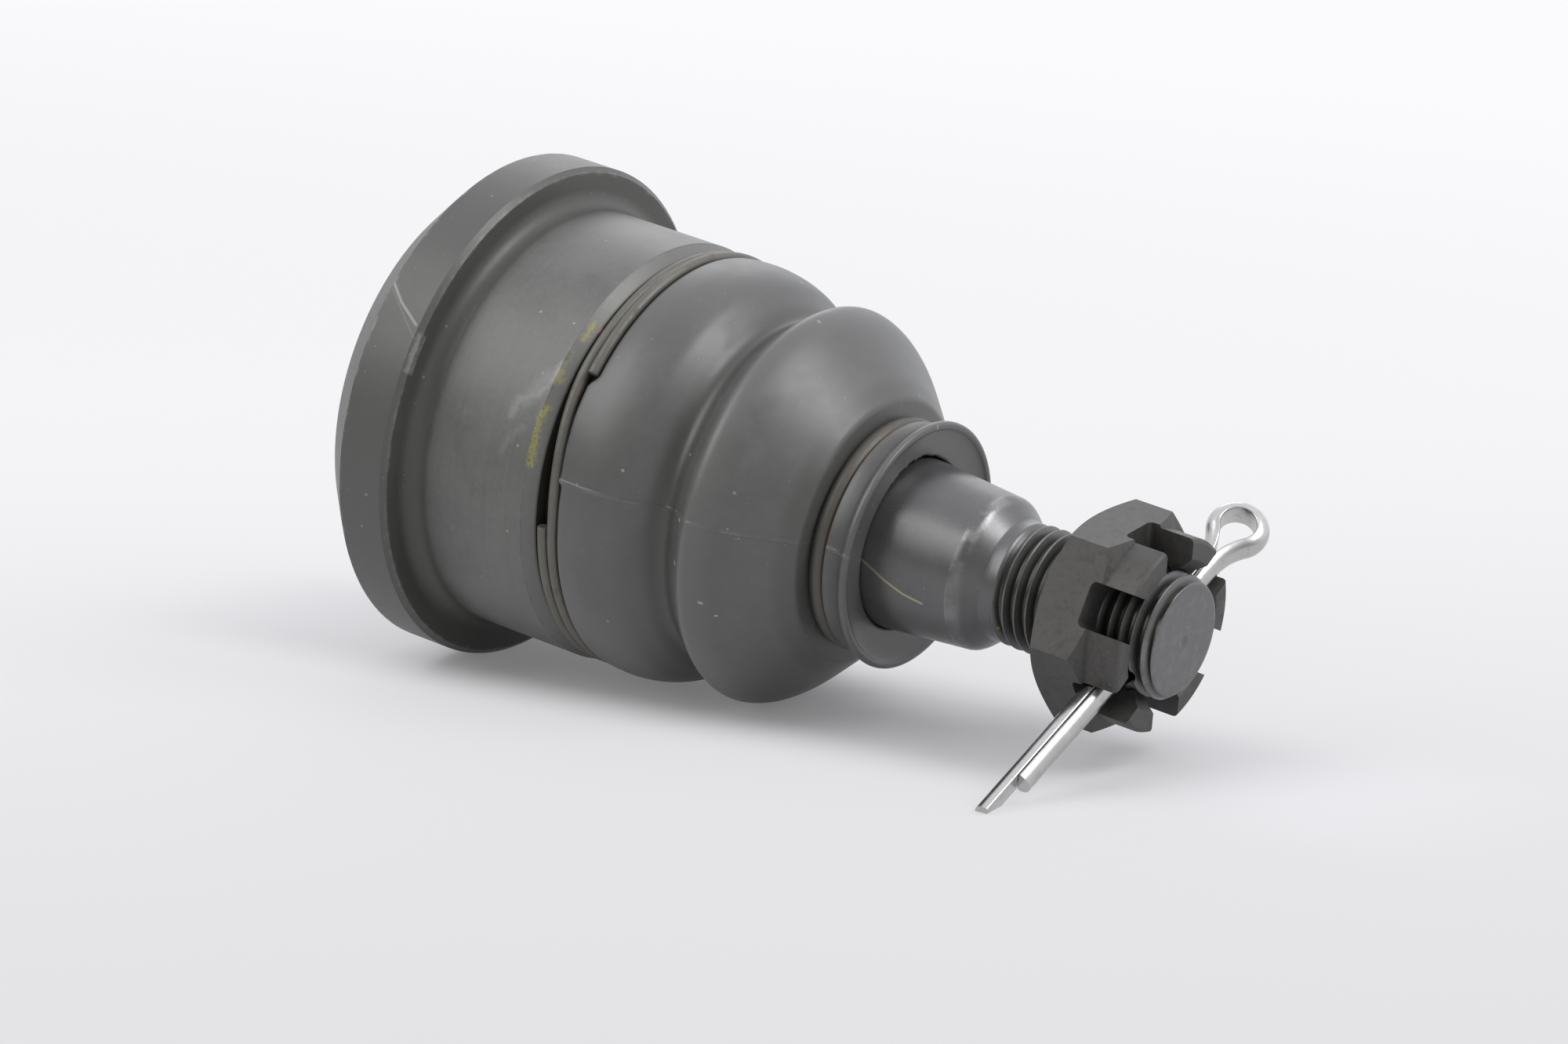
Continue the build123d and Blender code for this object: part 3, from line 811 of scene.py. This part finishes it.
def ringTree(values):
    graph, give, close = geometryTree("wound ring", values)
    line = graph.node("GeometryNodeCurvePrimitiveLine", {"End": (1.0, 0.0, 0.0)})
    line = graph.node("GeometryNodeResampleCurve", {"Curve": line, "Count": give("Points")})
    along, _, _ = graph.split(graph.node("GeometryNodeInputPosition"))
    turned = along * give("Turns")
    angle = (turned + give("First clock") / 360) * (2 * math.pi)
    # the turns lie flat, and the wire steps over to the next one, which rides up at its end
    station = (give("Low") + give("Step") * turned.rise(give("Step from"), give("Step to"))) * mm
    lift = give("Lift") * turned.rise(give("Lift from"), give("Lift to"))
    reach = (give("Coil radius") + lift) * mm
    path = graph.join(angle.sine() * reach, station, angle.cosine() * reach)
    wound = graph.node("GeometryNodeSetPosition", {"Geometry": line, "Position": path})
    section = graph.node("GeometryNodeCurvePrimitiveCircle",
                         {"Resolution": give("Sides"), "Radius": give("Wire radius") * mm})
    wire = graph.node("GeometryNodeCurveToMesh",
                      {"Curve": wound, "Profile Curve": section, "Fill Caps": True})
    return close(wire)


ringWinder = ringTree(largeRing)


def makeRing(name, size, node, body):
    piece = newObject(name, bpy.data.meshes.new(name))
    growWith(piece, ringWinder, "ring", size)
    soften = piece.modifiers.new("cut ends", "BEVEL")
    soften.width, soften.segments, soften.angle_limit = cutEnd * mm, 2, math.radians(60)
    applied(piece)
    finished(piece, "ring", 50)
    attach(piece, body)
    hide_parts(node)


makeRing("largeSpringRing", largeRing, "boot_large_ring", "bearing")
makeRing("smallSpringRing", smallRing, "boot_small_ring", "neck")
print("rings wound")


# ---- castle nut ----
nut = {
    "flats": 22.0, "seat": 67.5, "seatChamfer": 0.4, "hexTop": 73.6, "coneDrop": 0.2,
    "coneAngle": 30, "pastCorner": 0.1, "top": 78.6, "crown": 10.95, "clock": 36.8,
    # the crown's outer end rounds over: how far in from crown, how far down from top
    "crownEnd": [(0, 0.5), (0.15, 0.16), (0.48, 0)],
    "slotWidth": 5.1, "slotFloor": 73.0, "slotCorner": 0.7, "slotLength": 40, "slotRise": 4,
    # cut edges are rounded outside the thread
    "edge": 0.14, "edgeFrom": 8.3,
    "threadStart": 67.5, "end": 78.6, "datum": 67.15, "pitch": 1.5, "chamfer": 2.23,
    "crest": 6.42, "root": 7.14, "faceRadius": 8.65, "plainRadius": 7.75, "runOut": 0.7,
    "around": 144, "rowsPerTurn": 12, "threadClock": 301.0,
}


def hexagonTool(size):
    corner, low, high = size["flats"] / math.sqrt(3), size["seat"] - 2, size["top"] + 2
    clocks = [size["clock"] + 60 * i for i in range(6)]
    outline = [(0, low), (corner, low), (corner, high), (0, high)]
    return newObject("hexagon", turnedMesh("hexagon", outline, clocks))


def slotTool(size, clock):
    # cuts two opposite slots at once
    box = bmesh.new()
    bmesh.ops.create_cube(box, size=1)
    height = size["top"] - size["slotFloor"] + size["slotRise"]
    scale = Vector((size["slotLength"], height, size["slotWidth"])) * mm
    box.transform(Matrix.Diagonal((*scale, 1)))
    along = [e for e in box.edges if abs(e.verts[0].co.x - e.verts[1].co.x) > 1 * mm]
    bmesh.ops.bevel(box, geom=along, offset=size["slotCorner"] * mm, segments=5, profile=0.5,
                    affect="EDGES")
    turn = Matrix.Rotation(math.radians(clock - 90), 4, "Y")
    box.transform(Matrix.Translation((0, (size["slotFloor"] + height / 2) * mm, 0)) @ turn)
    return newObject("slot", meshOf("slot", box))


def softened(piece, width, fromRadius):
    # rounds the sharp edges outside a radius
    grid = bmesh.new()
    grid.from_mesh(piece.data)
    bmesh.ops.dissolve_degenerate(grid, edges=grid.edges, dist=0.002 * mm)
    bmesh.ops.recalc_face_normals(grid, faces=grid.faces)
    sharp = [e for e in grid.edges if e.is_manifold and e.calc_face_angle(0) > math.radians(24)
             and all(math.hypot(v.co.x, v.co.z) > fromRadius * mm for v in e.verts)]
    bmesh.ops.bevel(grid, geom=sharp, offset=width * mm, segments=2, profile=0.5,
                    affect="EDGES", clamp_overlap=True)
    meshOf(piece.name, grid, piece.data)


def makeNut(size):
    # turned with both cones, threaded, then cut to the hexagon and slotted
    corner, seat = size["flats"] / math.sqrt(3), size["flats"] / 2 - size["seatChamfer"]
    slope, past = math.tan(math.radians(size["coneAngle"])), size["pastCorner"]
    coneFoot, crown = size["hexTop"] - size["coneDrop"], size["crown"]
    outline = [(size["plainRadius"], size["seat"]), (seat, size["seat"]),
               (corner + past, size["seat"] + (corner - seat) * slope),
               (corner + past, coneFoot - past * slope),
               (crown, coneFoot + (corner - crown) * slope)]
    outline += [(crown - inward, size["top"] - down) for inward, down in size["crownEnd"]]
    outline.append((size["faceRadius"], size["top"]))
    piece = newObject("castleNut", turnedMesh("castleNut", outline, threadClocks(size)))
    growWith(piece, rolledThread, "stud", threadValues(size, -1))
    welded(piece)
    cutWith(piece, hexagonTool(size), "INTERSECT")
    for k in range(3):
        cutWith(piece, slotTool(size, size["clock"] + 30 + 60 * k))
    softened(piece, size["edge"], size["edgeFrom"])
    return piece


nutPiece = makeNut(nut)
finished(nutPiece, "nut", 11)
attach(nutPiece, "nut")
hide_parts("castle_nut")
print("nut cut:", len(nutPiece.data.polygons), "faces")


# ---- cotter pin: half-round wire folded flat to flat ----
pin = {
    "station": 75.87, "clock": 302.2, "lean": 3.2, "roll": 17.0,
    "wire": {"Wire radius": 1.5, "Corner": 0.2, "Sides": 28},
    "longLeg": 30.2, "shortLeg": 24.6, "gap": 0.04,
    "eyeRadius": 2.0, "eyeNeck": 10.4, "eyeNeckRadius": 8.0, "eyeSteps": 48, "neckSteps": 12,
}


def pinPath(size):
    # out along one leg, apart round the neck, round the eye and back along the other leg
    gap, bend, eye = size["gap"], size["eyeNeckRadius"], size["eyeRadius"]
    reach = math.sqrt((bend + eye) ** 2 - (bend + gap) ** 2)
    turn = math.atan2(reach, bend + gap)
    neck = [(size["eyeNeck"] + bend * math.sin(a), gap + bend - bend * math.cos(a))
            for a in np.linspace(0, turn, size["neckSteps"] + 1)]
    path = [(-size["longLeg"], -gap), (-size["longLeg"] / 2, -gap), (0, -gap)]
    path += [(x, -y) for x, y in neck]
    half = math.pi / 2 + turn
    path += [(size["eyeNeck"] + reach + eye * math.cos(a), eye * math.sin(a))
             for a in np.linspace(-half, half, size["eyeSteps"] + 1)[1:-1]]
    return path + neck[::-1] + [(0, gap), (-size["shortLeg"] / 2, gap), (-size["shortLeg"], gap)]


def pinTree(values):
    graph, give, close = geometryTree("folded wire", values)
    path = graph.node("GeometryNodeMeshToCurve", {"Mesh": give("Geometry")})
    path = graph.node("GeometryNodeSetCurveNormal", {"Curve": path}, mode="Z_UP")
    arc = graph.node("GeometryNodeCurveArc", {
        "Resolution": give("Sides"), "Radius": give("Wire radius") * mm,
        "Start Angle": -math.pi / 2, "Sweep Angle": math.pi, "Connect Center": False},
        mode="RADIUS")
    closed = graph.node("GeometryNodeSetSplineCyclic", {"Geometry": arc, "Cyclic": True})
    rounded = graph.node("GeometryNodeFilletCurve", {
        "Curve": closed, "Radius": give("Corner") * mm, "Count": 3, "Limit Radius": True},
        mode="POLY")
    return close(graph.node("GeometryNodeCurveToMesh",
                            {"Curve": path, "Profile Curve": rounded, "Fill Caps": True}))


def pinPlace(size):
    # the wire's plane, turned into the drilled hole and rolled about its length
    out = clockPoint(1, 0, size["clock"])
    lean = math.radians(size["lean"])
    along = out * math.cos(lean) + Vector((0, math.sin(lean), 0))
    normal = Matrix.Rotation(math.radians(size["roll"]), 3, along) @ along.cross(Vector((0, 1, 0)))
    normal.normalize()
    side = normal.cross(along)
    place = Matrix((along, side, normal)).transposed().to_4x4()
    place.translation = Vector((0, size["station"], 0)) * mm
    return place


def makePin(size):
    path = pinPath(size)
    mesh = bpy.data.meshes.new("splitPin")
    mesh.from_pydata([(x * mm, y * mm, 0) for x, y in path],
                     [(i, i + 1) for i in range(len(path) - 1)], [])
    piece = newObject("splitPin", mesh)
    growWith(piece, pinTree(size["wire"]), "zinc", size["wire"])
    piece.data.transform(pinPlace(size))
    return piece


pinPiece = makePin(pin)
finished(pinPiece, "zinc", 40)
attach(pinPiece, "pin")
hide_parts("cotter_pin")
print("pin folded:", len(pinPiece.data.polygons), "faces")


# ---- table, light and camera ----
studio = {
    # the table touches the flange and leans with the lying part; far points away from the camera
    "tilt": 9.35, "touch": (0, -7.2, -29.03), "reach": 1.3, "far": (-0.82, -0.57, 0.0),
    "near": (0.750, 0.745, 0.765), "middle": (0.895, 0.895, 0.910),
    "backdrop": (0.965, 0.965, 0.980), "nearToMiddle": (-170, 150), "toBackdrop": (120, 430),
    # how much of the table is glow: at the part, less below it, more towards the backdrop
    "glow": 0.75, "glowBelow": 0.57, "belowAcross": (8, 22), "belowAlong": (30, 60, 40),
    "glowAway": 0.25, "awayRadius": (120, 380), "paintShare": 0.77,
    "roomLow": (0.345, 0.345, 0.325), "roomHigh": (1.18, 1.19, 1.24),
    "roomAxis": (-0.733, -0.075, 0.677), "roomSpan": (-0.35, 0.85), "mirrorSpan": (0.3, 0.7),
    # a lamp's name, direction, side in metres and watts
    "lamps": [("left softbox", (0.60, -0.545, 0.585), 0.72, 4.2),
              ("right softbox", (-0.14, 0.60, 0.79), 0.45, 3.9),
              ("rear strip", (-0.74, -0.54, 0.40), 0.40, 0.6)],
    "camera": (555.5, 389.4, 225.0), "right": (-0.57789, 0.80605, 0.12779),
    "down": (0.19577, 0.28892, -0.93712), "lens": 144.0, "sensor": 36.0,
}


def tableFinish(size):
    f = Finish("table")
    away = f.dot(f.place, size["far"]).rise(*size["nearToMiddle"])
    colour = f.mix(away, size["near"], size["middle"])
    colour = f.mix(f.radius.rise(*size["toBackdrop"]), colour, size["backdrop"])
    matt = f.mix(1.0, colour, (size["paintShare"],) * 3, "MULTIPLY")
    paint = f.node("ShaderNodeBsdfDiffuse", {"Color": matt})
    light = f.node("ShaderNodeEmission", {"Color": colour})
    # the white sweep glows through, least beside the line that the part lies along
    below = (1 - abs(f.x).rise(*size["belowAcross"])) * f.station.band(*size["belowAlong"])
    glow = size["glow"] - size["glowBelow"] * below
    glow = glow + size["glowAway"] * f.radius.rise(*size["awayRadius"])
    path = f.node("ShaderNodeLightPath", None, "Is Camera Ray")
    seen = (path + path.out("Is Glossy Ray") + path.out("Is Transmission Ray")).atMost(1.0)
    top = f.node("ShaderNodeMixShader", {0: glow * seen, 1: paint, 2: light})
    clear = f.node("ShaderNodeBsdfTransparent")
    back = f.node("ShaderNodeNewGeometry", None, "Backfacing")
    sheet = f.node("ShaderNodeMixShader", {0: back, 1: top, 2: clear})
    f.node("ShaderNodeOutputMaterial", {"Surface": sheet})
    return f.material


def makeTable(size):
    mesh = bpy.data.meshes.new("table")
    reach = size["reach"]
    mesh.from_pydata([(-reach, -reach, 0), (reach, -reach, 0), (reach, reach, 0),
                      (-reach, reach, 0)], [], [(0, 1, 2, 3)])
    mesh.transform(Matrix.Translation(Vector(size["touch"]) * mm)
                   @ Matrix.Rotation(math.radians(size["tilt"]), 4, "X"))
    mesh.materials.append(tableFinish(size))
    table = newObject("table", mesh)


def makeWorld(size):
    world = bpy.data.worlds.new("studio")
    bpy.context.scene.world = world
    world.use_nodes = True
    graph = Graph(world.node_tree)
    graph.tree.nodes.clear()
    direction = graph.node("ShaderNodeTexCoord", None, "Generated")
    over, behind = graph.dot(direction, size["roomAxis"]), graph.dot(direction, size["far"])
    room = graph.mix(over.rise(*size["roomSpan"]), size["roomLow"], size["roomHigh"])
    # reflections find the pale backdrop behind the part, and the camera sees it all round
    path = graph.node("ShaderNodeLightPath", None, "Is Camera Ray")
    gloss = path.out("Is Glossy Ray") + path.out("Is Transmission Ray")
    room = graph.mix((gloss * behind.rise(*size["mirrorSpan"])).atMost(1.0), room, size["backdrop"],
                     "LIGHTEN")
    colour = graph.mix(path, room, size["backdrop"])
    glow = graph.node("ShaderNodeBackground", {"Color": colour, "Strength": 1.0})
    graph.node("ShaderNodeOutputWorld", {"Surface": glow})


def makeLamps(size):
    for name, direction, side, power in size["lamps"]:
        lamp = bpy.data.lights.new(name, "AREA")
        lamp.shape, lamp.size, lamp.energy = "SQUARE", side, power
        holder = newObject(name, lamp)
        holder.location = Vector(direction).normalized()
        holder.rotation_euler = holder.location.to_track_quat("Z", "Y").to_euler()


def makeCamera(size):
    camera = bpy.data.cameras.new("camera")
    camera.lens, camera.sensor_width, camera.sensor_fit = size["lens"], size["sensor"], "HORIZONTAL"
    camera.clip_start, camera.clip_end = 0.01, 20
    holder = newObject("camera", camera)
    right, down = Vector(size["right"]), Vector(size["down"])
    turn = Matrix((right, -down, right.cross(-down))).transposed().to_4x4()
    turn.translation = Vector(size["camera"]) * mm
    holder.matrix_world = turn
    bpy.context.scene.camera = holder


makeTable(studio)
makeWorld(studio)
makeLamps(studio)
makeCamera(studio)
bpy.context.scene.view_settings.view_transform = "Standard"
print("studio ready")
